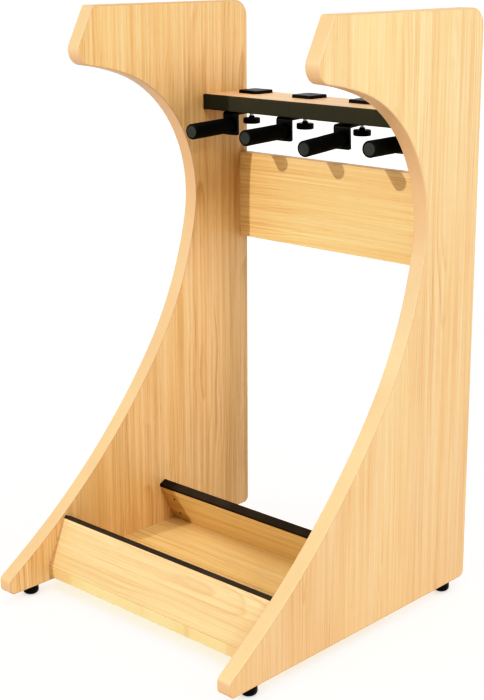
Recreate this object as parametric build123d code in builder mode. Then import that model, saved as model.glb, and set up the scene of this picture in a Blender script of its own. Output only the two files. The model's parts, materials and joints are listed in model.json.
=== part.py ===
from build123d import *
from math import cos, radians, sin, tan
import os

os.makedirs("parts", exist_ok=True)

# A free-standing floor rack for three guitars. Millimetres; X runs across the rack, Y from its front
# (negative) to its back, Z up from the floor. The origin is on the floor, at the middle of the footprint.

# ---------------------------------------------------------------- overall sizes
rack_width = 502.0
panel_height = 900.0
panel_depth = 545.0
panel_thick = 25.0
foot_height = 14.0

front = -panel_depth / 2
back = panel_depth / 2
panel_bottom = foot_height
panel_top = foot_height + panel_height
half_width = rack_width / 2
half_inside = half_width - panel_thick
inside_width = 2 * half_inside

# ---------------------------------------------------------------- side panels
top_edge = 340.5            # length of the straight top edge
nose_reach = 385.0          # sharp nose corner, forward of the back edge
nose_height = 814.3         # sharp nose corner, above the panel's bottom
underside_slope = 8.0       # degrees that the nose's underside falls towards the back
underside_run = 38.4        # straight part of that underside
front_sweeps = ((430.0, 10.0), (214.0, 82.9), (571.0, 24.7), (1110.0, 20.4))   # radius, turn in degrees
nose_round = 24.0
nose_top_round = 6.0
top_back_round = 28.0
bottom_back_round = 10.0
toe_round = 10.0
band_thick = 2.0
band_edge_round = 1.4

# ---------------------------------------------------------------- boards between the panels
neck_board_thick = 25.0
neck_board_depth = 100.0
neck_board_top = panel_bottom + 750.0
neck_board_back = back - 1.0
neck_strip_thick = 5.0
slat_thick = 18.0
back_board_height = 146.0
back_board_bottom = panel_bottom + 499.5
base_depth = 300.0
base_front = front + 78.5
base_bottom = panel_bottom + 8.0
base_top = base_bottom + slat_thick
rail_thick = 15.0
front_rail_width = 79.0
front_rail_lean = 26.0      # degrees from upright, top towards the back
rear_rail_width = 71.5
rear_rail_lean = -26.0      # top towards the front
rear_rail_front = base_front + 278.5
rail_strip_thick = 5.5
shadow_gap = 0.8            # thin wedge left open under the front rail's front edge
shadow_gap_depth = 6.0
board_edge_round = 1.2

# ---------------------------------------------------------------- hidden connectors and dowels
barrel_radius = 6.0
barrel_length = 34.0
pin_radius = 3.0
pin_in_panel = 12.0
pin_in_barrel = 31.0
grub_radius = 2.5
grub_inset = 23.0           # grub screw, from the board's end
grub_near = 3.05            # inner end of the grub screw, from the pin's axis
grub_length = 3.4
grub_socket_radius = 1.45
grub_socket_depth = 2.0
dowel_radius = 4.0
dowel_in_panel = 14.0
dowel_in_board = 16.0

# ---------------------------------------------------------------- peg arms
arm_pitch = 118.0
clamp_y = back - 41.0
arm_swivels = (3.5, 3.0, 3.5, 6.0)       # degrees at rest, tip towards +X
arm_sags = (1.3, 1.4, 3.5, 0.0)          # degrees that each bracket hangs down, about its back edge
arm_lifts = (0.0, 0.0, 0.0, 0.7)         # degrees that each bracket's bend is short of a right angle
running_gap = 0.05                       # radial clearance of anything that turns or slides
plate_size = 43.0
plate_thick = 5.0
plate_corner = 6.0
plate_edge_round = 1.2
plate_offset = 10.0                      # plate centre, behind its threaded barrel
plate_barrel_radius = 4.0
plate_barrel_length = 20.0
bracket_width = 30.0
bracket_thick = 4.0
bracket_reach = 56.0
bracket_tail = 15.0
bracket_drop = 37.5
bracket_bend = 5.0
bracket_corner = 3.0
bracket_tail_corner = 8.0
peg_drop = 21.3
peg_length = 96.0
foam_radius = 12.5
foam_end_round = 2.3
rod_radius = 6.0
rod_length = 93.0
rod_bore_radius = 4.0
rod_bore_depth = 12.0
spigot_radius = 4.0
rivet_radius = 6.0
rivet_height = 1.5
cap_radius = 10.0
cap_thick = 3.0
cap_edge = 0.8
cap_plug_length = 10.0
washer_radius = 6.5
washer_thick = 1.2
knob_radius = 14.0
knob_thick = 9.3
knob_gap = 9.8                           # knob's upper face, below the washer
knob_edge_round = 1.6
knob_flutes = 26
flute_radius = 0.9
flare_radius = 5.0
flare_height = 3.5
collar_radius = 3.1
collar_depth = 5.5                       # collar inside the knob
stud_radius = 2.5
stud_length = 28.0                       # threaded part above the collar

# ---------------------------------------------------------------- levelling feet
foot_front_y = front + 50.0
foot_back_y = back - 43.0
foot_x = half_width - panel_thick / 2
pad_radius = 12.5
pad_sole_round = 6.0
foot_stud_radius = 3.0
foot_stud_length = 34.0
foot_head_radius = 5.5
foot_head_thick = 3.0
foot_head_bottom = 4.0
insert_radius = 4.75
insert_length = 13.0
foot_well_radius = 3.6
foot_well_depth = 32.0


def keep(piece, name):
    """Label a finished piece and write it as parts/name.step."""
    piece.part.label = name
    export_step(piece.part, f"parts/{name}.step")


# ---------------------------------------------------------------- sections in the Y-Z plane
def rail_section(foot_y, width, lean):
    """Corners of a leaning rail: front bottom, front top, back top, back bottom, and its own up direction."""
    up = Vector(sin(radians(lean)), cos(radians(lean)))
    across = Vector(cos(radians(lean)), -sin(radians(lean)))
    front_bottom = Vector(foot_y, base_top)
    front_top = front_bottom + up * width
    back_top = front_top + across * rail_thick
    back_bottom = Vector(foot_y + rail_thick / cos(radians(lean)), base_top)
    return front_bottom, front_top, back_top, back_bottom, up


front_rail = rail_section(base_front, front_rail_width, front_rail_lean)
rear_rail = rail_section(rear_rail_front, rear_rail_width, rear_rail_lean)


def rail_point(rail, along, depth):
    """Point in a rail's section: along its front face from the bottom, and depth behind that face."""
    front_bottom, front_top, back_top, back_bottom, up = rail
    across = (back_top - front_top).normalized()
    return front_bottom + up * along + across * depth


# ---------------------------------------------------------------- where boards meet the panels
def connector_sites():
    """Each hidden connector: its place (y, z) on a panel and the direction (y, z) of its access hole."""
    neck_middle = neck_board_top - neck_board_thick / 2
    neck_front = neck_board_back - neck_board_depth
    slat_middle = back - slat_thick / 2
    base_middle = base_bottom + slat_thick / 2
    sites = {
        "neck_board": [((neck_front + 22, neck_middle), (0, -1)), ((neck_front + 78, neck_middle), (0, -1))],
        "back_board": [((slat_middle, back_board_bottom + rise), (1, 0)) for rise in (28, 118)],
        "base_board": [((base_front + inset, base_middle), (0, -1)) for inset in (60, 240)],
    }
    for name, rail, access in (("front_rail", front_rail, 1), ("rear_rail", rear_rail, -1)):
        across = (rail[2] - rail[1]).normalized() * access
        middles = [rail_point(rail, along, rail_thick / 2) for along in (16, 49)]
        sites[name] = [((middle.X, middle.Y), (across.X, across.Y)) for middle in middles]
    return sites


def dowel_sites():
    """Each dowel's place (y, z) on a panel."""
    return {
        "neck_board": [(neck_board_back - neck_board_depth / 2, neck_board_top - neck_board_thick / 2)],
        "back_board": [(back - slat_thick / 2, back_board_bottom + back_board_height / 2)],
        "base_board": [(base_front + inset, base_bottom + slat_thick / 2) for inset in (120, 180)],
    }


connectors = connector_sites()
dowels = dowel_sites()
all_connectors = [site for name in connectors for site in connectors[name]]
all_dowels = [site for name in dowels for site in dowels[name]]


def panel_face_planes(places, sides, outward):
    """Planes on the panels' inner faces at the given places, facing out of or into the board."""
    facing = 1 if outward else -1
    return [Plane(origin=(side * half_inside, y, z), z_dir=(side * facing, 0, 0))
            for side in sides for y, z in places]


def grub_planes(sites, start):
    """Planes square to each access hole, start mm from the pin's axis."""
    planes = []
    for side in (-1, 1):
        for (y, z), (toward_y, toward_z) in sites:
            origin = (side * (half_inside - grub_inset), y + toward_y * start, z + toward_z * start)
            planes.append(Plane(origin=origin, x_dir=(1, 0, 0), z_dir=(0, toward_y, toward_z)))
    return planes


# ---------------------------------------------------------------- side panels and their edge bands
with BuildSketch() as panel_outline:
    with BuildLine():
        nose_tip = Vector(back - nose_reach, panel_bottom + nose_height)
        edge = PolarLine(nose_tip, underside_run, angle=-underside_slope)
        for sweep_radius, sweep_turn in front_sweeps:
            edge = JernArc(start=edge @ 1, tangent=edge % 1, radius=sweep_radius, arc_size=-sweep_turn)
        run_out = ((edge @ 1).X - front) / -(edge % 1).X
        toe_top = (edge @ 1) + (edge % 1) * run_out
        Polyline(edge @ 1, toe_top, (front, panel_bottom), (back, panel_bottom), (back, panel_top),
                 (back - top_edge, panel_top), nose_tip)
    make_face()
    for corner, corner_radius in (
        ((nose_tip.X, nose_tip.Y), nose_round),
        ((back - top_edge, panel_top), nose_top_round),
        ((back, panel_top), top_back_round),
        ((back, panel_bottom), bottom_back_round),
        ((front, panel_bottom), toe_round),
        ((toe_top.X, toe_top.Y), toe_round),
    ):
        fillet(panel_outline.vertices().sort_by_distance(corner)[0], corner_radius)

with BuildSketch() as core_outline:
    add(panel_outline.sketch)
    offset(amount=-band_thick)


def side_panel(side, name):
    """Laminated core of one side panel, with its blind holes for pins, dowels and feet."""
    outer_x = side * half_width
    with BuildPart() as panel:
        with BuildSketch(Plane.YZ.offset(outer_x)):
            add(core_outline.sketch)
        extrude(amount=-side * panel_thick)
        with BuildSketch(*panel_face_planes([place for place, access in all_connectors], (side,), True)):
            Circle(pin_radius)
        extrude(amount=pin_in_panel, mode=Mode.SUBTRACT)
        with BuildSketch(*panel_face_planes(all_dowels, (side,), True)):
            Circle(dowel_radius)
        extrude(amount=dowel_in_panel, mode=Mode.SUBTRACT)
        with BuildSketch(Plane.XY.offset(panel_bottom)):
            with Locations((side * foot_x, foot_front_y), (side * foot_x, foot_back_y)):
                Circle(insert_radius)
        extrude(amount=insert_length, mode=Mode.SUBTRACT)
        with BuildSketch(Plane.XY.offset(panel_bottom)):
            with Locations((side * foot_x, foot_front_y), (side * foot_x, foot_back_y)):
                Circle(foot_well_radius)
        extrude(amount=foot_well_depth, mode=Mode.SUBTRACT)
    keep(panel, name)


def edge_band(side, name):
    """Plain plastic band glued round the panel's edge, with rounded outer corners."""
    outer_x = side * half_width
    with BuildPart() as band:
        with BuildSketch(Plane.YZ.offset(outer_x)):
            add(panel_outline.sketch)
        extrude(amount=-side * panel_thick)
        rims = band.faces().filter_by(Plane.YZ).sort_by(Axis.X)
        fillet(rims[0].edges() + rims[-1].edges(), band_edge_round)
        with BuildSketch(Plane.YZ.offset(outer_x)):
            add(core_outline.sketch)
        extrude(amount=-side * panel_thick, mode=Mode.SUBTRACT)
        with BuildSketch(Plane.XY.offset(panel_bottom)):
            with Locations((side * foot_x, foot_front_y), (side * foot_x, foot_back_y)):
                Circle(insert_radius)
        extrude(amount=band_thick, mode=Mode.SUBTRACT)
    keep(band, name)


for side, side_name in ((-1, "left"), (1, "right")):
    side_panel(side, f"{side_name}_side_panel")
    edge_band(side, f"{side_name}_edge_band")


# ---------------------------------------------------------------- boards and rails
def clamp_x(arm):
    return (arm - 1.5) * arm_pitch


def board_end_holes(sites, dowel_places, reach):
    """Connector, access and dowel holes at both ends of a board; reach is the board's half thickness."""
    with BuildPart() as holes:
        with BuildSketch(*panel_face_planes([place for place, access in sites], (-1, 1), False)):
            Circle(barrel_radius)
        extrude(amount=barrel_length)
        with BuildSketch(*grub_planes(sites, 0)):
            Circle(grub_radius)
        extrude(amount=reach)
        if dowel_places:
            with BuildSketch(*panel_face_planes(dowel_places, (-1, 1), False)):
                Circle(dowel_radius)
            extrude(amount=dowel_in_board)
    return holes.part


def flat_board(name, y_low, y_high, z_low, z_high):
    """A straight board between the panels."""
    thickness = min(y_high - y_low, z_high - z_low)
    end_holes = board_end_holes(connectors[name], dowels[name], thickness / 2)
    with BuildPart() as board:
        with BuildSketch(Plane.YZ.offset(-half_inside)):
            with Locations(((y_low + y_high) / 2, (z_low + z_high) / 2)):
                Rectangle(y_high - y_low, z_high - z_low)
        extrude(amount=inside_width)
        fillet(board.edges().filter_by(Axis.X), board_edge_round)
        add(end_holes, mode=Mode.SUBTRACT)
        if name == "neck_board":
            with BuildSketch(Plane.XY.offset(z_low)):
                with Locations(*[(clamp_x(arm), clamp_y) for arm in range(4)]):
                    Circle(plate_barrel_radius)
            extrude(amount=thickness, mode=Mode.SUBTRACT)
    keep(board, name)


def leaning_rail(name, rail, gap):
    """A rail of the tray, cut flat where it stands on the base board; gap is the wedge open at its front."""
    front_bottom, front_top, back_top, back_bottom, up = rail
    heel = front_bottom + Vector(shadow_gap_depth, 0)
    end_holes = board_end_holes(connectors[name], [], rail_thick / 2)
    with BuildPart() as board:
        with BuildSketch(Plane.YZ.offset(-half_inside)):
            with BuildLine():
                Polyline(front_bottom + up * gap, front_top, back_top, back_bottom, heel, close=True)
            make_face()
        extrude(amount=inside_width)
        add(end_holes, mode=Mode.SUBTRACT)
    keep(board, name)
    with BuildPart() as strip:
        with BuildSketch(Plane.YZ.offset(-half_inside)):
            with BuildLine():
                Polyline(front_top, front_top + up * rail_strip_thick, back_top + up * rail_strip_thick,
                         back_top, close=True)
            make_face()
        extrude(amount=inside_width)
    keep(strip, f"{name}_strip")


neck_board_front = neck_board_back - neck_board_depth
neck_board_bottom = neck_board_top - neck_board_thick
flat_board("neck_board", neck_board_front, neck_board_back, neck_board_bottom, neck_board_top)
flat_board("back_board", back - slat_thick, back, back_board_bottom, back_board_bottom + back_board_height)
flat_board("base_board", base_front, base_front + base_depth, base_bottom, base_top)
leaning_rail("front_rail", front_rail, shadow_gap)
leaning_rail("rear_rail", rear_rail, 0)

with BuildPart() as neck_strip:
    with BuildSketch(Plane.YZ.offset(-half_inside)):
        with Locations((neck_board_front - neck_strip_thick / 2, neck_board_top - neck_board_thick / 2)):
            Rectangle(neck_strip_thick, neck_board_thick)
    extrude(amount=inside_width)
keep(neck_strip, "neck_board_strip")


# ---------------------------------------------------------------- hidden connectors and dowels
connector_places = [place for place, access in all_connectors]

with BuildPart() as barrels:
    with BuildSketch(*panel_face_planes(connector_places, (-1, 1), False)):
        Circle(barrel_radius)
    extrude(amount=barrel_length)
    with BuildSketch(*panel_face_planes(connector_places, (-1, 1), False)):
        Circle(pin_radius)
    extrude(amount=pin_in_barrel, mode=Mode.SUBTRACT)
    with BuildSketch(*grub_planes(all_connectors, 0)):
        Circle(grub_radius)
    extrude(amount=barrel_radius + 1, mode=Mode.SUBTRACT)
keep(barrels, "connector_barrels")

with BuildPart() as pins:
    with BuildSketch(*panel_face_planes(connector_places, (-1, 1), False)):
        Circle(pin_radius)
    extrude(amount=pin_in_barrel)
    with BuildSketch(*panel_face_planes(connector_places, (-1, 1), True)):
        Circle(pin_radius)
    extrude(amount=pin_in_panel)
keep(pins, "connector_pins")

with BuildPart() as grubs:
    with BuildSketch(*grub_planes(all_connectors, grub_near)):
        Circle(grub_radius)
    extrude(amount=grub_length)
    with BuildSketch(*grub_planes(all_connectors, grub_near + grub_length)):
        RegularPolygon(grub_socket_radius, 6)
    extrude(amount=-grub_socket_depth, mode=Mode.SUBTRACT)
keep(grubs, "grub_screws")

with BuildPart() as dowel_group:
    with BuildSketch(*panel_face_planes(all_dowels, (-1, 1), False)):
        Circle(dowel_radius)
    extrude(amount=dowel_in_board)
    with BuildSketch(*panel_face_planes(all_dowels, (-1, 1), True)):
        Circle(dowel_radius)
    extrude(amount=dowel_in_panel)
keep(dowel_group, "wood_dowels")


# ---------------------------------------------------------------- peg arms
def clamp_plate(arm):
    """Square plate on the neck board, with a threaded barrel let into the board."""
    with BuildPart() as plate:
        with BuildSketch(Plane.XY.offset(neck_board_top)):
            with Locations((clamp_x(arm), clamp_y + plate_offset)):
                RectangleRounded(plate_size, plate_size, plate_corner)
        extrude(amount=plate_thick)
        fillet(plate.faces().sort_by(Axis.Z)[-1].edges(), plate_edge_round)
        with BuildSketch(Plane.XY.offset(neck_board_top)):
            with Locations((clamp_x(arm), clamp_y)):
                Circle(plate_barrel_radius)
        extrude(amount=-plate_barrel_length)
        with BuildSketch(Plane.XY.offset(neck_board_top - plate_barrel_length)):
            with Locations((clamp_x(arm), clamp_y)):
                Circle(stud_radius + running_gap)
        extrude(amount=plate_barrel_length, mode=Mode.SUBTRACT)
    keep(plate, f"clamp_plate_{arm + 1}")


def arm_side_plane(arm):
    """Upright plane through the clamp's axis: x runs forward along the arm, y up, from the board's underside."""
    swing = radians(arm_swivels[arm])
    return Plane(origin=(clamp_x(arm), clamp_y, neck_board_bottom), x_dir=(sin(swing), -cos(swing), 0),
                 z_dir=(-cos(swing), -sin(swing), 0))


def bracket_corner_points(arm):
    """Section of the bracket in the arm's side plane, and the ways that its peg and its front plate point."""
    sag = radians(arm_sags[arm])
    drop = sag - radians(arm_lifts[arm])
    leg_way = Vector(cos(sag), -sin(sag))
    leg_down = Vector(-sin(sag), -cos(sag))
    peg_way = Vector(cos(drop), -sin(drop))
    plate_way = Vector(-sin(drop), -cos(drop))
    heel = Vector(-bracket_tail, 0)
    bend = heel + leg_way * (bracket_tail + bracket_reach)
    inner_share = bracket_thick * (1 - sin(sag - drop)) / cos(sag - drop)
    outline = [
        heel,
        bend,
        bend + plate_way * bracket_drop,
        bend + plate_way * bracket_drop - peg_way * bracket_thick,
        bend + plate_way * inner_share - peg_way * bracket_thick,
        heel + leg_down * bracket_thick,
    ]
    return outline, peg_way, plate_way


def clamp_drop(arm):
    """How far below the neck board the washer's upper face bears on the hanging bracket."""
    sag = radians(arm_sags[arm])
    return (bracket_tail + washer_radius) * tan(sag) + bracket_thick / cos(sag)


def peg_plane(arm):
    """Plane through the peg's axis: origin on the bracket's front face, x along the peg, y up."""
    side_plane = arm_side_plane(arm)
    outline, peg_way, plate_way = bracket_corner_points(arm)
    start = outline[1] + plate_way * peg_drop
    x_dir = side_plane.from_local_coords(Vector(peg_way.X, peg_way.Y, 0)) - side_plane.origin
    return Plane(origin=side_plane.from_local_coords(Vector(start.X, start.Y, 0)), x_dir=x_dir,
                 z_dir=side_plane.z_dir)


def bracket(arm):
    """Steel strip bent down in front of the neck board, drilled for the clamp stud and the peg."""
    side_plane = arm_side_plane(arm)
    outline, peg_way, plate_way = bracket_corner_points(arm)
    peg = peg_plane(arm)
    with BuildPart() as strip:
        with BuildSketch(side_plane) as section:
            with BuildLine():
                Polyline(*outline, close=True)
            make_face()
            fillet(section.vertices().sort_by_distance((outline[1].X, outline[1].Y))[0], bracket_bend)
            fillet(section.vertices().sort_by_distance((outline[4].X, outline[4].Y))[0],
                   bracket_bend - bracket_thick)
        extrude(amount=bracket_width / 2, both=True)
        short_edges = strip.edges().filter_by(
            lambda edge: abs(edge.length - bracket_thick) < 0.01 and edge.geom_type == GeomType.LINE)
        fillet(short_edges.sort_by(Axis.Z)[:2], bracket_corner)
        fillet(short_edges.sort_by(Axis.Z)[-2:], bracket_tail_corner)
        with BuildSketch(Plane.XY.offset(neck_board_bottom)):
            with Locations((clamp_x(arm), clamp_y)):
                Circle(stud_radius + running_gap)
        extrude(amount=-clamp_drop(arm), mode=Mode.SUBTRACT)
        with BuildSketch(Plane(origin=peg.origin, z_dir=peg.x_dir)):
            Circle(spigot_radius)
        extrude(amount=-bracket_thick, mode=Mode.SUBTRACT)
    keep(strip, f"bracket_{arm + 1}")


def peg(arm):
    """Foam-covered peg: riveted steel rod, foam sleeve and end cap."""
    plane = peg_plane(arm)
    axis = Axis(plane.origin, plane.x_dir)
    with BuildPart() as rod:
        with BuildSketch(plane):
            with BuildLine():
                Polyline((-bracket_thick - rivet_height, 0), (-bracket_thick - rivet_height, rivet_radius),
                         (-bracket_thick, rivet_radius), (-bracket_thick, spigot_radius), (0, spigot_radius),
                         (0, rod_radius), (rod_length, rod_radius), (rod_length, rod_bore_radius),
                         (rod_length - rod_bore_depth, rod_bore_radius), (rod_length - rod_bore_depth, 0),
                         close=True)
            make_face()
        revolve(axis=axis)
    keep(rod, f"peg_rod_{arm + 1}")
    with BuildPart() as foam:
        with BuildSketch(plane) as section:
            with BuildLine():
                Polyline((0, rod_radius), (0, foam_radius), (peg_length, foam_radius), (peg_length, cap_radius),
                         (peg_length - cap_thick, cap_radius), (peg_length - cap_thick, rod_radius), close=True)
            make_face()
            fillet(section.vertices().sort_by_distance((peg_length, foam_radius))[0], foam_end_round)
        revolve(axis=axis)
    keep(foam, f"foam_sleeve_{arm + 1}")
    with BuildPart() as cap:
        plug_end = rod_length - cap_plug_length
        with BuildSketch(plane) as section:
            with BuildLine():
                Polyline((plug_end, 0), (plug_end, rod_bore_radius), (rod_length, rod_bore_radius),
                         (rod_length, cap_radius), (peg_length, cap_radius), (peg_length, 0), close=True)
            make_face()
            chamfer(section.vertices().sort_by_distance((peg_length, cap_radius))[0], cap_edge)
        revolve(axis=axis)
    keep(cap, f"peg_cap_{arm + 1}")


def clamp_knob(arm):
    """Thumb knob moulded on its threaded stud, and the washer between it and the bracket."""
    clamp_axis = Axis((clamp_x(arm), clamp_y, 0), (0, 0, 1))
    washer_top = neck_board_bottom - clamp_drop(arm)
    washer_bottom = washer_top - washer_thick
    knob_top = washer_bottom - knob_gap
    collar_end = knob_top - collar_depth
    stud_top = washer_bottom + stud_length
    plane = Plane(origin=(clamp_x(arm), clamp_y, 0), x_dir=(1, 0, 0), z_dir=(0, -1, 0))
    with BuildPart() as washer:
        with BuildSketch(Plane.XY.offset(washer_top)):
            with Locations((clamp_x(arm), clamp_y)):
                Circle(washer_radius)
                Circle(stud_radius + running_gap, mode=Mode.SUBTRACT)
        extrude(amount=-washer_thick)
    keep(washer, f"washer_{arm + 1}")
    with BuildPart() as stud:
        with BuildSketch(plane):
            with BuildLine():
                Polyline((0, collar_end), (collar_radius, collar_end), (collar_radius, washer_bottom),
                         (stud_radius, washer_bottom), (stud_radius, stud_top), (0, stud_top), close=True)
            make_face()
        revolve(axis=clamp_axis)
    keep(stud, f"knob_stud_{arm + 1}")
    with BuildPart() as knob:
        with BuildSketch(plane) as section:
            with BuildLine():
                Polyline((0, knob_top - knob_thick), (knob_radius, knob_top - knob_thick),
                         (knob_radius, knob_top), (flare_radius, knob_top),
                         (collar_radius + 1, knob_top + flare_height), (collar_radius, knob_top + flare_height),
                         (collar_radius, collar_end), (0, collar_end), close=True)
            make_face()
            fillet(section.vertices().sort_by(Axis.X)[-2:], knob_edge_round)
        revolve(axis=clamp_axis)
        with BuildSketch(Plane.XY.offset(knob_top - knob_thick)):
            with Locations((clamp_x(arm), clamp_y)):
                with PolarLocations(knob_radius + flute_radius / 2, knob_flutes):
                    Circle(flute_radius)
        extrude(amount=knob_thick, mode=Mode.SUBTRACT)
    keep(knob, f"knob_{arm + 1}")


for arm in range(4):
    clamp_plate(arm)
    bracket(arm)
    peg(arm)
    clamp_knob(arm)


# ---------------------------------------------------------------- levelling feet
foot_places = (("front_left", -foot_x, foot_front_y), ("front_right", foot_x, foot_front_y),
               ("back_left", -foot_x, foot_back_y), ("back_right", foot_x, foot_back_y))


def foot(name, x, y):
    """Plastic pad that swivels on the head of its threaded stud."""
    plane = Plane(origin=(x, y, 0), x_dir=(1, 0, 0), z_dir=(0, -1, 0))
    foot_axis = Axis((x, y, 0), (0, 0, 1))
    head_top = foot_head_bottom + foot_head_thick
    with BuildPart() as pad:
        with BuildSketch(plane) as section:
            with BuildLine():
                Polyline((0, 0), (pad_radius, 0), (pad_radius, foot_height),
                         (foot_stud_radius + running_gap, foot_height),
                         (foot_stud_radius + running_gap, head_top + running_gap),
                         (foot_head_radius + running_gap, head_top + running_gap),
                         (foot_head_radius + running_gap, foot_head_bottom - running_gap),
                         (0, foot_head_bottom - running_gap), close=True)
            make_face()
            fillet(section.vertices().sort_by_distance((pad_radius, 0))[0], pad_sole_round)
        revolve(axis=foot_axis)
    keep(pad, f"foot_pad_{name}")
    with BuildPart() as stud:
        with BuildSketch(plane):
            with BuildLine():
                Polyline((0, foot_head_bottom), (foot_head_radius, foot_head_bottom),
                         (foot_head_radius, head_top), (foot_stud_radius, head_top),
                         (foot_stud_radius, head_top + foot_stud_length), (0, head_top + foot_stud_length),
                         close=True)
            make_face()
        revolve(axis=foot_axis)
    keep(stud, f"foot_stud_{name}")


for place_name, place_x, place_y in foot_places:
    foot(place_name, place_x, place_y)

with BuildPart() as inserts:
    with BuildSketch(Plane.XY.offset(panel_bottom)):
        with Locations(*[(x, y) for name, x, y in foot_places]):
            Circle(insert_radius)
            Circle(foot_stud_radius + running_gap, mode=Mode.SUBTRACT)
    extrude(amount=insert_length)
keep(inserts, "foot_inserts")
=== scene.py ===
import json
from math import cos, exp, radians, sin, tau

import bmesh
import bpy
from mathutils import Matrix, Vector, noise


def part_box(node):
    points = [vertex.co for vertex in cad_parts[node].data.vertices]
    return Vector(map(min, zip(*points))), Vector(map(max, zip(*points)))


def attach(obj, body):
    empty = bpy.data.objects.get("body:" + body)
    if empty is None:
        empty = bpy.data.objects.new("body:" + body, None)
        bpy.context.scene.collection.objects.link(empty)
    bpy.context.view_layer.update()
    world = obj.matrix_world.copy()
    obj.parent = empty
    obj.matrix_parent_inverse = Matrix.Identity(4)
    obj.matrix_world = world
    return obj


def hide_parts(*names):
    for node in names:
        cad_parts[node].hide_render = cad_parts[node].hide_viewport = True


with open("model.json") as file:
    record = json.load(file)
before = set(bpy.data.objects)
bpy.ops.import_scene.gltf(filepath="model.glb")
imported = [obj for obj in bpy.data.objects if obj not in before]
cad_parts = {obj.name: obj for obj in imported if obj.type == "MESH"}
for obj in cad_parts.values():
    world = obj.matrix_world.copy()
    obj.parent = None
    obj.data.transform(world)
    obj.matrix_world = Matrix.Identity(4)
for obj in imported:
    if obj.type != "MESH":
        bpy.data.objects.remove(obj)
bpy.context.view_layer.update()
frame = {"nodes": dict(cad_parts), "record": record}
nodes = frame["nodes"]
slot_of = {s["node"]: s["material_slot"] for s in frame["record"]["subparts"]}
scene = bpy.context.scene
MM = 0.001


# ---------------------------------------------------------------- node helpers
class Shader:
    """A material being built, with short calls for the nodes it needs."""

    def __init__(self, name):
        self.material = bpy.data.materials.new(name)
        self.material.use_nodes = True
        self.tree = self.material.node_tree
        self.surface = self.tree.nodes["Principled BSDF"]

    def node(self, kind, **settings):
        made = self.tree.nodes.new("ShaderNode" + kind)
        for key, value in settings.items():
            setattr(made, key, value)
        return made

    def feed(self, socket, value):
        if isinstance(value, bpy.types.NodeSocket):
            self.tree.links.new(value, socket)
        elif isinstance(value, (tuple, list)) and len(value) == 3 and len(socket.default_value) == 4:
            socket.default_value = (*value, 1.0)
        else:
            socket.default_value = value

    def place(self):
        """The piece's own coordinates, in metres."""
        return self.node("TexCoord").outputs["Object"]

    def maths(self, operation, first, second=0.0, third=0.0):
        made = self.node("Math", operation=operation)
        for socket, value in zip(made.inputs, (first, second, third)):
            self.feed(socket, value)
        return made.outputs[0]

    def split(self, vector):
        made = self.node("SeparateXYZ")
        self.feed(made.inputs[0], vector)
        return made.outputs

    def join(self, x, y, z):
        made = self.node("CombineXYZ")
        for socket, value in zip(made.inputs, (x, y, z)):
            self.feed(socket, value)
        return made.outputs[0]

    def noise(self, vector, scale=1.0, detail=2.0, roughness=0.5):
        made = self.node("TexNoise")
        self.feed(made.inputs["Vector"], vector)
        made.inputs["Scale"].default_value = scale
        made.inputs["Detail"].default_value = detail
        made.inputs["Roughness"].default_value = roughness
        return made.outputs["Fac"]

    def voronoi(self, vector, scale):
        made = self.node("TexVoronoi", feature="F1")
        self.feed(made.inputs["Vector"], vector)
        made.inputs["Scale"].default_value = scale
        return made.outputs["Distance"]

    def spread(self, value, low, high, new_low=0.0, new_high=1.0):
        """value moved from low..high to new_low..new_high, and held there beyond."""
        made = self.node("MapRange")
        for socket, number in zip(made.inputs, (value, low, high, new_low, new_high)):
            self.feed(socket, number)
        return made.outputs[0]

    def mix(self, share, first, second, blend="MIX"):
        made = self.node("Mix", data_type="RGBA", blend_type=blend)
        self.feed(made.inputs["Factor"], share)
        self.feed(made.inputs[6], first)
        self.feed(made.inputs[7], second)
        return made.outputs[2]

    def bump(self, height, strength, distance):
        made = self.node("Bump")
        self.feed(made.inputs["Height"], height)
        made.inputs["Strength"].default_value = strength
        made.inputs["Distance"].default_value = distance
        return made.outputs[0]

    def edge_wear_and_highlight(self, radius):
        """1 on the piece's edges and 0 on its flats, from the way a small bevel turns the normal."""
        bevel = self.node("Bevel", samples=4)
        bevel.inputs["Radius"].default_value = radius
        plain = self.node("NewGeometry").outputs["Normal"]
        dot = self.node("VectorMath", operation="DOT_PRODUCT")
        self.feed(dot.inputs[0], bevel.outputs[0])
        self.feed(dot.inputs[1], plain)
        return self.spread(dot.outputs["Value"], 0.995, 0.86)

    def finish(self, **inputs):
        for key, value in inputs.items():
            self.feed(self.surface.inputs[key.replace("_", " ")], value)
        return self.material


def lighter(colour, factor):
    return tuple(min(1.0, c * factor) for c in colour)


# ---------------------------------------------------------------- materials
OAK_PALE = (0.670, 0.462, 0.254)
OAK_DEEP = (0.536, 0.319, 0.130)
OAK_LINE = (0.402, 0.209, 0.072)
OAK_SILVER = (0.721, 0.546, 0.359)
OAK_PORE = (0.251, 0.120, 0.044)
OAK_WARM = (0.637, 0.397, 0.168)
BAND = (0.518, 0.335, 0.185)
FOAM = (0.0080, 0.0100, 0.0085)
RUBBER = (0.034, 0.026, 0.018)
STRIP = (0.050, 0.047, 0.030)
COATED = (0.0052, 0.0052, 0.0050)

# The veneer: leaves side by side, each cut from a log of its own.
LEAF_WIDTH = 0.145
LOG_HEART_ACROSS = (0.32, 0.68)   # where the log's heart lies, as a share of the leaf's width
LOG_HEART_DEPTH = (0.004, 0.055)  # and how far behind the leaf
LOG_HEART_SLOPE = 0.060           # most that this depth grows or shrinks per metre along the grain
RINGS_PER_METRE = 185.0
X, Y, Z = 0, 1, 2


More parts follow.
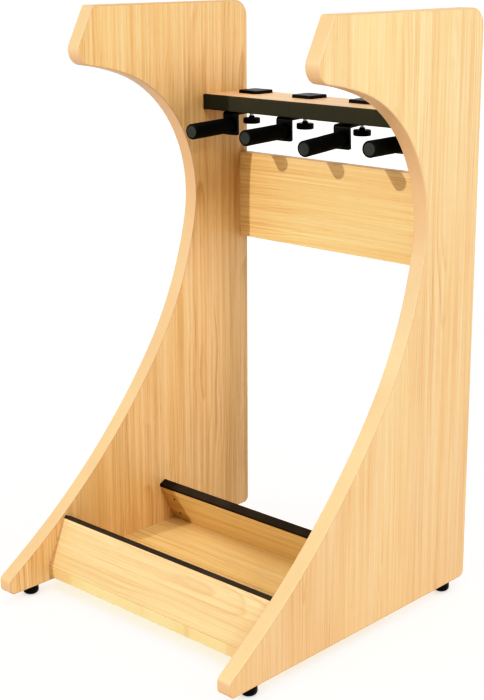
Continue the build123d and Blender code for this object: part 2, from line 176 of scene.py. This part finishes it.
def oak(name, across, along, through, seed, strength, tone_and_painted_light):
    """Wood-grain laminate. across, along and through are the axes of its grain. The last argument scales
    the colour of each board. Part of that is the board's own tint, and part is painted light and shade for
    how much light that board gets.
    """
    s = Shader(name)
    xyz = s.split(s.place())
    a, l, t = xyz[across], xyz[along], xyz[through]
    t = s.maths("MULTIPLY_ADD", t, 0.35, seed)

    def stretched(across_scale, along_scale, detail, offset=0.0, roughness=0.5):
        """Noise drawn out along the grain."""
        return s.noise(s.join(s.maths("MULTIPLY", a, across_scale), s.maths("MULTIPLY", l, along_scale),
                              s.maths("ADD", t, offset)), detail=detail, roughness=roughness)

    def sway(pattern, amount):
        """A noise pattern turned into a shift to either side."""
        return s.maths("MULTIPLY", s.maths("SUBTRACT", pattern, 0.5), amount)

    # leaves of veneer side by side: each is a cut through a log, a little off its axis
    drift = sway(stretched(2.0, 2.2, 2.0, 5.0), 0.05)
    leaf_place = s.maths("DIVIDE", s.maths("ADD", s.maths("ADD", a, drift), seed), LEAF_WIDTH)
    leaf_number = s.maths("FLOOR", leaf_place)
    chance = s.node("TexWhiteNoise", noise_dimensions="1D")
    s.feed(chance.inputs["W"], leaf_number)
    chances = s.split(chance.outputs["Color"])
    heart = s.spread(chances[0], 0.0, 1.0, *LOG_HEART_ACROSS)
    from_heart = s.maths("MULTIPLY", s.maths("SUBTRACT", s.maths("FRACT", leaf_place), heart), LEAF_WIDTH)
    slope = s.spread(chances[1], 0.0, 1.0, -LOG_HEART_SLOPE, LOG_HEART_SLOPE)
    depth = s.maths("ADD", s.maths("MULTIPLY", l, slope), s.spread(chances[2], 0.0, 1.0, *LOG_HEART_DEPTH))
    depth = s.maths("ADD", depth, sway(stretched(9.0, 2.4, 2.0), 0.034))
    radius = s.maths("SQRT", s.maths("ADD", s.maths("MULTIPLY", from_heart, from_heart),
                                     s.maths("MULTIPLY", depth, depth)))
    radius = s.maths("MULTIPLY_ADD", stretched(90.0, 5.0, 2.0, 9.0), 0.0011, radius)
    # rings of uneven width: slow early wood, then a dark late-wood line that stops short
    uneven = s.noise(s.join(s.maths("MULTIPLY", radius, 170.0), leaf_number, seed), detail=1.0)
    even = s.maths("MULTIPLY", radius, RINGS_PER_METRE)
    ring = s.maths("FRACT", s.maths("MULTIPLY_ADD", uneven, 1.5, even))
    late = s.maths("MULTIPLY", s.maths("POWER", ring, 3.2), s.spread(ring, 1.0, 0.90))
    shown = s.spread(stretched(22.0, 3.0, 3.0, 2.0), 0.44, 0.64)
    late = s.maths("MULTIPLY", late, shown)
    # streaks, fibres and open pores
    streak = stretched(120.0, 1.6, 4.0, 7.0, 0.62)
    fine = stretched(420.0, 3.2, 3.0, 1.0, 0.6)
    fibre = stretched(1100.0, 11.0, 2.0)
    pores = s.spread(stretched(1500.0, 40.0, 1.0, 3.0), 0.60, 0.74)
    broad = stretched(14.0, 0.8, 2.0, 4.0)
    colour = s.mix(s.spread(streak, 0.36, 0.68, 0.0, 0.62 * strength), OAK_PALE, OAK_DEEP)
    colour = s.mix(s.spread(late, 0.0, 1.0, 0.0, 0.70 * strength), colour, OAK_LINE)
    colour = s.mix(s.spread(fine, 0.50, 0.72, 0.0, 0.42 * strength), colour, OAK_LINE)
    colour = s.mix(s.spread(fine, 0.46, 0.30, 0.0, 0.30 * strength), colour, OAK_SILVER)
    colour = s.mix(s.maths("MULTIPLY", pores, 0.22 * strength), colour, OAK_PORE)
    colour = s.mix(s.spread(broad, 0.35, 0.65, 0.0, 0.30 * strength), colour, OAK_WARM)
    # painted light and shade: each leaf's random tone is scaled by the board's tone, which is partly its
    # own tint and partly stands for how much light reaches the board
    leaf_tone_and_light = [s.spread(chances[0], 0.0, 1.0, 0.955 * share, 1.035 * share) for share in tone_and_painted_light]
    colour = s.mix(1.0, colour, s.join(*leaf_tone_and_light), blend="MULTIPLY")
    height = s.maths("SUBTRACT", s.maths("MULTIPLY", fibre, 0.35), s.maths("MULTIPLY", pores, 0.8))
    rough = s.spread(fibre, 0.3, 0.7, 0.36, 0.47)
    return s.finish(Base_Color=colour, Roughness=rough, Normal=s.bump(height, 0.30, 0.00010),
                    Specular_IOR_Level=0.40)


def edge_banding():
    """Plain plastic band: a faintly clouded colour and a slight orange peel."""
    s = Shader("edge_banding")
    place = s.place()
    cloud = s.noise(place, scale=9.0, detail=3.0)
    speck = s.noise(place, scale=420.0, detail=2.0)
    colour = s.mix(s.spread(cloud, 0.35, 0.65), lighter(BAND, 0.97), lighter(BAND, 1.04))
    colour = s.mix(s.spread(speck, 0.5, 0.8, 0.0, 0.16), colour, lighter(BAND, 0.80))
    return s.finish(Base_Color=colour, Roughness=s.spread(cloud, 0.3, 0.7, 0.36, 0.44),
                    Normal=s.bump(speck, 0.12, 0.0001), Specular_IOR_Level=0.45)


def foam(name, colour, cell, scuffed=1.6):
    """Closed-cell foam: a fine skin of cells, with scuffs that many times lighter."""
    s = Shader(name)
    place = s.place()
    cells = s.voronoi(place, 1.0 / cell)
    scuff = s.noise(place, scale=45.0, detail=4.0)
    tint = s.mix(s.spread(scuff, 0.45, 0.75), colour, lighter(colour, scuffed))
    tint = s.mix(s.spread(cells, 0.1, 0.6, 0.30, 0.0), tint, lighter(colour, 0.4))
    return s.finish(Base_Color=tint, Roughness=s.spread(scuff, 0.3, 0.7, 0.58, 0.74),
                    Normal=s.bump(cells, 0.35, 0.00014), Specular_IOR_Level=0.16)


def rubber(name, colour):
    """Soft strip with a fine matt skin and a little dust."""
    s = Shader(name)
    place = s.place()
    fine = s.noise(place, scale=700.0, detail=2.0)
    dust = s.noise(place, scale=24.0, detail=4.0)
    tint = s.mix(s.spread(dust, 0.45, 0.75), colour, lighter(colour, 1.5))
    return s.finish(Base_Color=tint, Roughness=s.spread(dust, 0.3, 0.7, 0.55, 0.70),
                    Normal=s.bump(fine, 0.25, 0.00012), Specular_IOR_Level=0.18)


def powder_coat():
    """Black powder coat: fine orange peel, with the edges painted a little greyer, partly as wear and
    partly as a painted highlight.
    """
    s = Shader("powder_coat")
    place = s.place()
    peel = s.noise(place, scale=900.0, detail=2.0)
    patch = s.noise(place, scale=60.0, detail=3.0)
    edges = s.edge_wear_and_highlight(0.0009)
    colour = s.mix(s.spread(patch, 0.3, 0.7), COATED, lighter(COATED, 1.35))
    # wear and painted highlight: the edges are mixed towards a lighter grey
    colour = s.mix(s.maths("MULTIPLY", edges, 0.25), colour, (0.045, 0.045, 0.043))
    return s.finish(Base_Color=colour, Roughness=s.spread(patch, 0.3, 0.7, 0.34, 0.46),
                    Normal=s.bump(peel, 0.30, 0.00014), Specular_IOR_Level=0.26)


def moulded(name, colour, grain=650.0, rough=(0.34, 0.46), gloss=0.25):
    """Moulded plastic with a fine spark-eroded texture."""
    s = Shader(name)
    place = s.place()
    texture = s.noise(place, scale=grain, detail=2.0)
    patch = s.noise(place, scale=70.0, detail=3.0)
    edges = s.edge_wear_and_highlight(0.0006)
    tint = s.mix(s.spread(patch, 0.35, 0.7), colour, lighter(colour, 1.3))
    # wear and painted highlight: the edges are mixed towards a much lighter tint
    tint = s.mix(s.maths("MULTIPLY", edges, 0.30), tint, lighter(colour, 4.0))
    return s.finish(Base_Color=tint, Roughness=s.spread(patch, 0.3, 0.7, *rough),
                    Normal=s.bump(texture, 0.25, 0.0001), Specular_IOR_Level=gloss)


def metal(name, colour, turned=0.0):
    """Plated or brushed metal; turned gives fine rings along Z."""
    s = Shader(name)
    place = s.place()
    patch = s.noise(place, scale=120.0, detail=4.0)
    x, y, z = s.split(place)
    lines = s.noise(s.join(s.maths("MULTIPLY", x, 60.0), s.maths("MULTIPLY", y, 60.0),
                           s.maths("MULTIPLY", z, 2500.0)), detail=2.0)
    tint = s.mix(s.spread(patch, 0.3, 0.7), lighter(colour, 0.86), lighter(colour, 1.08))
    height = s.mix(turned, patch, lines)
    material = s.finish(Base_Color=tint, Roughness=s.spread(patch, 0.3, 0.7, 0.24, 0.38),
                        Normal=s.bump(height, 0.15, 0.0001))
    s.surface.inputs["Metallic"].default_value = 1.0
    return material


def dowel_wood():
    s = Shader("bare_beech")
    x, y, z = s.split(s.place())
    fleck = s.noise(s.join(s.maths("MULTIPLY", x, 60.0), s.maths("MULTIPLY", y, 800.0),
                           s.maths("MULTIPLY", z, 800.0)), detail=3.0)
    colour = s.mix(s.spread(fleck, 0.35, 0.7), (0.66, 0.45, 0.27), (0.47, 0.28, 0.14))
    return s.finish(Base_Color=colour, Roughness=0.62, Normal=s.bump(fleck, 0.3, 0.0001))


# Each board gets its own copy of the oak. The tone values make a board lighter or darker: partly its own
# tint, partly painted light and shade for how lit it is (the back board painted lighter, the front rail
# darker).
upright_left = oak("oak_upright_left", Y, Z, X, seed=0.37, strength=1.3, tone_and_painted_light=(1.01, 1.03, 1.04))
upright_right = oak("oak_upright_right", Y, Z, X, seed=1.91, strength=1.0, tone_and_painted_light=(0.965, 0.965, 1.02))
oak_base = oak("oak_base", Y, X, Z, seed=2.63, strength=1.0, tone_and_painted_light=(0.99, 1.06, 1.03))
oak_neck = oak("oak_neck", Y, X, Z, seed=5.21, strength=0.9, tone_and_painted_light=(1.02, 1.02, 1.15))
oak_back = oak("oak_back", Z, X, Y, seed=0.83, strength=0.95, tone_and_painted_light=(1.10, 1.14, 1.08))
oak_front = oak("oak_front", Z, X, Y, seed=3.17, strength=0.8, tone_and_painted_light=(0.88, 0.87, 0.88))
oak_rear = oak("oak_rear", Z, X, Y, seed=4.49, strength=0.9, tone_and_painted_light=(1.02, 1.10, 1.04))
banding = edge_banding()
strip_foam = foam("strip_foam", STRIP, 0.0009, scuffed=1.15)
slot_material = {
    "edge_band": banding,
    "black_foam": foam("black_foam", FOAM, 0.0011),
    "rubber_strip": rubber("rubber_strip", RUBBER),
    "black_coated_steel": powder_coat(),
    "steel_rod": metal("steel_rod", (0.50, 0.50, 0.51)),
    "grey_cap": moulded("grey_cap", (0.036, 0.038, 0.030), rough=(0.45, 0.6)),
    "zinc_washer": metal("zinc_washer", (0.60, 0.60, 0.60)),
    "zinc_steel": metal("zinc_steel", (0.52, 0.52, 0.53), turned=1.0),
    "black_steel": metal("black_steel", (0.020, 0.020, 0.022)),
    "nylon": moulded("nylon", (0.62, 0.61, 0.57), grain=300.0, gloss=0.45),
    "black_plastic": moulded("black_plastic", (0.0045, 0.0045, 0.0042)),
    "brass_insert": metal("brass_insert", (0.66, 0.45, 0.17), turned=1.0),
    "beech_dowel": dowel_wood(),
}
board_material = {
    "left_side_panel": upright_left,
    "right_side_panel": upright_right,
    "neck_board": oak_neck,
    "base_board": oak_base,
    "back_board": oak_back,
    "front_rail": oak_front,
    "rear_rail": oak_rear,
}


def dress(obj, material):
    obj.data.materials.clear()
    obj.data.materials.append(material)


for name, obj in nodes.items():
    dress(obj, board_material.get(name) or slot_material[slot_of[name]])


# ---------------------------------------------------------------- soft pieces
def new_object(name, data):
    made = bpy.data.objects.new(name, data)
    scene.collection.objects.link(made)
    return made


def closed_skin(name, rings, wrap):
    """Smooth-shaded mesh through equal rings of points; wrap joins the last ring to the first."""
    mesh = bmesh.new()
    grid = [[mesh.verts.new(point) for point in ring] for ring in rings]
    count = len(grid[0])
    last = len(grid) if wrap else len(grid) - 1
    for i in range(last):
        here, beyond = grid[i], grid[(i + 1) % len(grid)]
        for k in range(count):
            mesh.faces.new((here[k], here[(k + 1) % count], beyond[(k + 1) % count], beyond[k]))
    if not wrap:
        mesh.faces.new(grid[0])
        mesh.faces.new(grid[-1])
    bmesh.ops.recalc_face_normals(mesh, faces=mesh.faces)
    for face in mesh.faces:
        face.smooth = len(face.verts) == 4
    data = bpy.data.meshes.new(name)
    mesh.to_mesh(data)
    mesh.free()
    return new_object(name, data)


def ripple(place, size, amount):
    """A small smooth wave of the surface at a place."""
    return amount * noise.noise(place / size)


def stand_in(piece, node, body, material=None):
    """A modelled soft piece takes the place of its plain CAD solid."""
    dress(piece, material or slot_material[slot_of[node]])
    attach(piece, body)
    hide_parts(node)


def end_centres(node):
    """Centres of a straight tube's two end faces, the end nearer the back of the rack first."""
    points = {tuple(round(c, 6) for c in vertex.co) for vertex in nodes[node].data.vertices}
    points = [Vector(point) for point in sorted(points)]
    way = Vector((0.0, -1.0, 0.0))
    for tolerance in (6.0 * MM, 1.0 * MM, 0.25 * MM):
        reach = [point.dot(way) for point in points]
        ends = []
        for limit, sign in ((min(reach), 1), (max(reach), -1)):
            near = [point for point, r in zip(points, reach) if (r - limit) * sign < tolerance]
            ends.append(sum(near, Vector()) / len(near))
        way = (ends[1] - ends[0]).normalized()
    return ends


def foam_tube(node, body):
    """Foam sleeve: pinched a little at the bracket, softly wavy, rounded over at its open end."""
    start, end = end_centres(node)
    way = (end - start).normalized()
    side = way.cross(Vector((0.0, 0.0, 1.0))).normalized()
    up = side.cross(way)
    length = (end - start).length
    outer, bore, recess = 12.45 * MM, 6.02 * MM, 10.03 * MM
    turn_over, recess_depth = 2.4 * MM, 3.0 * MM
    turn_over_steps = 7
    profile = [(0.0, bore), (0.0, outer - 1.3 * MM), (0.35 * MM, outer - 0.7 * MM)]
    profile.append((1.3 * MM, outer - 0.2 * MM))
    straight_steps = 44
    straight_from, straight_to = 3.0 * MM, length - turn_over
    profile += [(straight_from + (straight_to - straight_from) * i / straight_steps, outer)
                for i in range(straight_steps + 1)]
    for i in range(1, turn_over_steps + 1):
        angle = radians(90.0 * i / turn_over_steps)
        profile.append((length - turn_over * (1 - sin(angle)), outer - turn_over * (1 - cos(angle))))
    profile += [(length - 0.25 * MM, recess), (length - recess_depth + 0.1 * MM, recess),
                (length - recess_depth + 0.1 * MM, bore)]
    sides = 72
    rings = []
    for i in range(sides):
        turn = tau * i / sides
        out = side * cos(turn) + up * sin(turn)
        ring = []
        for along, distance in profile:
            place = start + way * along + out * distance
            if distance > recess + 0.5 * MM:
                dimple = 0.16 * MM if i == 0 else 0.0
                bulge = -0.10 * MM * (1 - cos(tau * along / length)) / 2
                place += out * (ripple(place, 16 * MM, 0.16 * MM) + ripple(place, 5 * MM, 0.05 * MM)
                                - dimple + bulge)
            ring.append(place)
        rings.append(ring)
    piece = closed_skin(node + "_skin", rings, True)
    stand_in(piece, node, body)


def corner_points(node):
    """The four corners of a bar's end, in the Y-Z plane, in order round it."""
    low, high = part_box(node)
    ends = {(round(v.co.y, 6), round(v.co.z, 6)) for v in nodes[node].data.vertices if v.co.x < low[0] + MM}
    points = [Vector(point) for point in sorted(ends)]
    middle = sum(points, Vector((0.0, 0.0))) / len(points)
    points.sort(key=lambda point: (point - middle).angle_signed(Vector((1.0, 0.0))))
    return points, low[0], high[0]


def soft_bar(node, rounding, stuck_side, material=None):
    """Foam bar along X. Its corners are rounded, except the two of the side that is stuck down."""
    corner_steps, side_steps, steps = 6, 6, 170
    corners, low_x, high_x = corner_points(node)
    middle = sum(corners, Vector((0.0, 0.0))) / 4
    stuck = sorted(corners, key=lambda corner: (corner - middle).dot(stuck_side))[-2:]
    section = []
    for i, corner in enumerate(corners):
        before = (corners[i - 1] - corner).normalized()
        after = (corners[(i + 1) % 4] - corner).normalized()
        size = 0.25 * MM if corner in stuck else rounding
        heart = corner + (before + after) * size
        for k in range(corner_steps + 1):
            angle = radians(90.0 * k / corner_steps)
            section.append(heart - after * size * cos(angle) - before * size * sin(angle))
        across = (corners[(i + 1) % 4] - corner).length - 2 * rounding
        for k in range(1, side_steps):
            section.append(corner + after * (rounding + across * k / side_steps))
    rings = []
    stations = [0.0, 0.0015, 0.004] + [i / steps for i in range(2, steps - 1)] + [0.996, 0.9985, 1.0]
    for station in stations:
        x = low_x + (high_x - low_x) * station
        squeeze = 0.25 * MM if station in (0.0, 1.0) else 0.0
        ring = []
        for point in section:
            out = (point - middle).normalized()
            free = max(0.0, -out.dot(stuck_side.normalized()) + 0.25)
            place = Vector((x, point.x, point.y))
            wave = ripple(place, 30 * MM, 0.22 * MM) + ripple(place, 8 * MM, 0.07 * MM) - 0.15 * MM
            moved = point + out * (wave - squeeze) * min(1.0, free * 1.5)
            ring.append(Vector((x, moved.x, moved.y)))
        rings.append(ring)
    piece = closed_skin(node + "_skin", rings, False)
    stand_in(piece, node, "stand", material)


for arm in (1, 2, 3, 4):
    foam_tube(f"foam_sleeve_{arm}", f"arm_{arm}")
soft_bar("neck_board_strip", 1.6 * MM, Vector((1.0, 0.0)), strip_foam)
RAIL_LEAN = radians(26.0)
soft_bar("front_rail_strip", 1.4 * MM, Vector((-sin(RAIL_LEAN), -cos(RAIL_LEAN))))
soft_bar("rear_rail_strip", 1.4 * MM, Vector((sin(RAIL_LEAN), -cos(RAIL_LEAN))))


# ---------------------------------------------------------------- stage, light and camera
def add_floor():
    mesh = bmesh.new()
    bmesh.ops.create_circle(mesh, cap_ends=True, radius=60.0, segments=96)
    data = bpy.data.meshes.new("floor")
    mesh.to_mesh(data)
    mesh.free()
    floor = new_object("floor", data)
    s = Shader("floor_paper")
    fleck = s.noise(s.place(), scale=3.0, detail=3.0)
    colour = s.mix(s.spread(fleck, 0.3, 0.7), (0.93, 0.93, 0.93), (0.95, 0.95, 0.95))
    floor.data.materials.append(s.finish(Base_Color=colour, Roughness=0.9, Specular_IOR_Level=0.1))
    return floor


def aim(obj, place, direction):
    obj.location = place
    obj.rotation_mode = "QUATERNION"
    obj.rotation_quaternion = Vector(direction).to_track_quat("-Z", "Y")


WALL_TOP, CEILING_EDGE = 0.20, 0.55   # heights in the sky, as the sine of the angle above the horizon


def add_world(horizon, zenith):
    """White studio: bright walls low down, and a dimmer ceiling."""
    world = bpy.data.worlds.new("studio")
    world.use_nodes = True
    tree = world.node_tree
    way = tree.nodes.new("ShaderNodeTexCoord")
    split = tree.nodes.new("ShaderNodeSeparateXYZ")
    rise = tree.nodes.new("ShaderNodeMapRange")
    for socket, value in zip(rise.inputs[1:5], (WALL_TOP, CEILING_EDGE, horizon, zenith)):
        socket.default_value = value
    tree.links.new(way.outputs["Generated"], split.inputs[0])
    tree.links.new(split.outputs["Z"], rise.inputs[0])
    background = tree.nodes["Background"]
    background.inputs["Color"].default_value = (1.0, 1.0, 1.0, 1.0)
    tree.links.new(rise.outputs[0], background.inputs["Strength"])
    scene.world = world


def light_only(light, receivers):
    """A light that reaches the given objects and no others."""
    lit = bpy.data.collections.new("lit_by_" + light.name)
    for receiver in receivers:
        lit.objects.link(receiver)
    light.light_linking.receiver_collection = lit


def add_sun(name, direction, strength, spread, receivers):
    """A far light, spread degrees across."""
    data = bpy.data.lights.new(name, "SUN")
    data.energy = strength
    data.angle = radians(spread)
    light = new_object(name, data)
    aim(light, -Vector(direction) * 3, direction)
    light_only(light, receivers)
    return light


def add_lamp(name, place, watts, radius, receivers):
    """A round lamp at a place, so that its shadows fan out."""
    data = bpy.data.lights.new(name, "POINT")
    data.energy = watts
    data.shadow_soft_size = radius
    light = new_object(name, data)
    light.location = place
    light_only(light, receivers)
    return light


# Strengths of the studio's walls and ceiling, the two lamps (watts), and the two far lights.
WALLS = 1.10
CEILING = 0.46
KEY = 362.0
SIDE = 130.0
TOP = 1.74
FLOOR_LIGHT = 1.7
KEY_PLACE = (-0.99, -3.60, 2.13)
KEY_RADIUS = 0.02
SIDE_PLACE = (2.1, -0.35, 1.65)
SIDE_RADIUS = 0.45
TOP_DIRECTION = (-0.10, 0.25, -1.0)
STRAIGHT_DOWN = (0.0, 0.0, -1.0)
SUN_SPREAD = 60.0
floor = add_floor()
rack = [obj for obj in scene.objects if obj.type == "MESH" and obj != floor]
add_world(WALLS, CEILING)
add_lamp("key_light", KEY_PLACE, KEY, KEY_RADIUS, rack)
add_lamp("side_light", SIDE_PLACE, SIDE, SIDE_RADIUS, rack)
add_sun("top_light", TOP_DIRECTION, TOP, SUN_SPREAD, rack)
floor_light = add_sun("floor_light", STRAIGHT_DOWN, FLOOR_LIGHT, SUN_SPREAD, [floor])
floor_light.data.use_shadow = False

TONE_SLOPE = 0.93
TONE_TOE = 0.293
TONE_PIVOT = 0.5              # kept as it is by the slope and the toe
TONE_SHOULDER = 0.84          # bright tones level off from here
TONE_POINTS = 20
TONE_CROWDING = 1.8           # puts more of the curve's points among the dark tones


def set_tone():
    """Plain colours with the contrast of a product picture: a deep toe and a soft shoulder."""
    view = scene.view_settings
    view.view_transform = "Standard"
    view.use_curve_mapping = True
    curve = view.curve_mapping.curves[3]
    head = 1 - TONE_SHOULDER
    for i in range(1, TONE_POINTS + 1):
        x = (i / (TONE_POINTS + 1)) ** TONE_CROWDING
        toe = x / (x + TONE_TOE) * (TONE_PIVOT + TONE_TOE) / TONE_PIVOT
        y = TONE_PIVOT * (x / TONE_PIVOT) ** TONE_SLOPE * toe
        if y > TONE_SHOULDER:
            y = TONE_SHOULDER + head * (1 - exp(-(y - TONE_SHOULDER) / head))
        curve.points.new(x, y)
    view.curve_mapping.update()


set_tone()

# Camera: where the picture was taken from, its direction and its lens.
CAMERA_PLACE = (1.4606, -1.5240, 0.9952)
CAMERA_PITCH = 14.471
CAMERA_AZIMUTH = 42.580
FOCAL_SHARE = 2.0444          # focal length over the frame's long side
SENSOR = 36.0                 # millimetres
LENS_SHIFT = (-0.0294, -0.0444)
camera_data = bpy.data.cameras.new("camera")
camera_data.sensor_width = SENSOR
camera_data.lens = SENSOR * FOCAL_SHARE
camera_data.shift_x, camera_data.shift_y = LENS_SHIFT
camera = new_object("camera", camera_data)
turn, tilt = radians(CAMERA_AZIMUTH), radians(CAMERA_PITCH)
aim(camera, CAMERA_PLACE, (-sin(turn) * cos(tilt), cos(turn) * cos(tilt), -sin(tilt)))
scene.camera = camera
